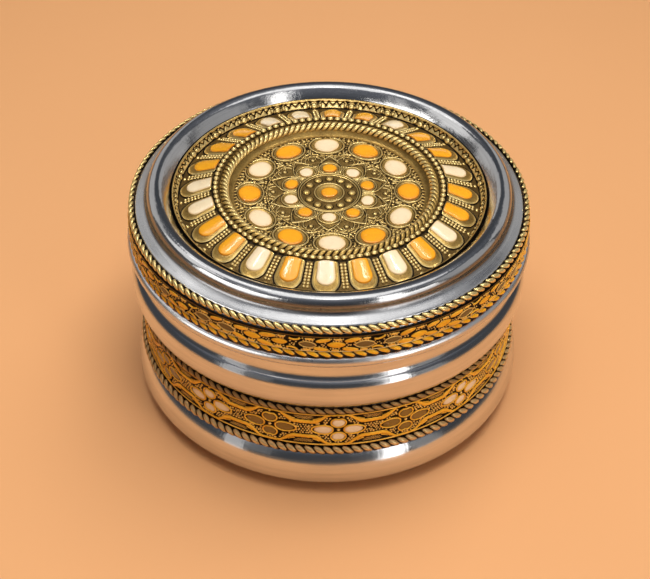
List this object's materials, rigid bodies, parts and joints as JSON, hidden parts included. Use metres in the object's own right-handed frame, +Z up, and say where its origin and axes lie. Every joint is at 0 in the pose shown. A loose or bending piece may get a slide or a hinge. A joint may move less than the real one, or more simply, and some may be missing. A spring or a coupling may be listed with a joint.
{
  "type": "round lidded box",
  "caption": "Round steel box with a lift-off lid, a drawn-in waist, pressed brass bands and an enamelled brass plate on the lid.",
  "frame": {"origin": "bottom centre of the box, on its axis, at the foot's resting plane", "axes": "+Z up along the axis of the box; -Y is the front seen in the picture; +X is to the right"},
  "size_m": [0.159, 0.159, 0.0935],
  "materials": {
    "steel": "brushed to polished",
    "antique_brass": "antiqued, dark in the recesses",
    "amber_brass": "pressed, tinted amber and brown",
    "cream_enamel": "glossy enamel",
    "orange_enamel": "glossy enamel"
  },
  "bodies": {
    "box": {"body_shell": "steel", "waist_band": "amber_brass", "waist_rope_lower": "antique_brass", "waist_rope_upper": "antique_brass"},
    "lid": {"lid_shell": "steel", "lid_band": "amber_brass", "lid_rope_lower": "antique_brass", "lid_rope_upper": "antique_brass", "top_plate": "antique_brass", "plate_bead_ring": "antique_brass", "plate_rope_ring": "antique_brass", "petal_enamel_01": "cream_enamel", "petal_enamel_02": "orange_enamel", "petal_enamel_03": "cream_enamel", "petal_enamel_04": "orange_enamel", "petal_enamel_05": "cream_enamel", "petal_enamel_06": "orange_enamel", "petal_enamel_07": "orange_enamel", "petal_enamel_08": "cream_enamel", "petal_enamel_09": "orange_enamel", "petal_enamel_10": "orange_enamel", "petal_enamel_11": "cream_enamel", "petal_enamel_12": "orange_enamel", "petal_enamel_13": "orange_enamel", "petal_enamel_14": "cream_enamel", "petal_enamel_15": "cream_enamel", "petal_enamel_16": "orange_enamel", "petal_enamel_17": "orange_enamel", "petal_enamel_18": "orange_enamel", "petal_enamel_19": "cream_enamel", "petal_enamel_20": "cream_enamel", "petal_enamel_21": "orange_enamel", "petal_enamel_22": "orange_enamel", "petal_enamel_23": "cream_enamel", "petal_enamel_24": "orange_enamel", "oval_enamel_01": "cream_enamel", "oval_enamel_02": "orange_enamel", "oval_enamel_03": "cream_enamel", "oval_enamel_04": "orange_enamel", "oval_enamel_05": "cream_enamel", "oval_enamel_06": "orange_enamel", "oval_enamel_07": "cream_enamel", "oval_enamel_08": "orange_enamel", "oval_enamel_09": "cream_enamel", "oval_enamel_10": "orange_enamel", "oval_enamel_11": "cream_enamel", "oval_enamel_12": "orange_enamel", "dot_enamel_01": "cream_enamel", "dot_enamel_02": "orange_enamel", "dot_enamel_03": "cream_enamel", "dot_enamel_04": "orange_enamel", "dot_enamel_05": "cream_enamel", "dot_enamel_06": "orange_enamel", "dot_enamel_07": "cream_enamel", "dot_enamel_08": "orange_enamel", "dot_enamel_09": "cream_enamel", "dot_enamel_10": "orange_enamel", "centre_enamel": "orange_enamel"}
  },
  "joints": [
    {"name": "lid_lift", "type": "slide", "parent": "box", "child": "lid", "axis": [0, 0, 1], "range_m": [0, 0.12]}
  ]
}
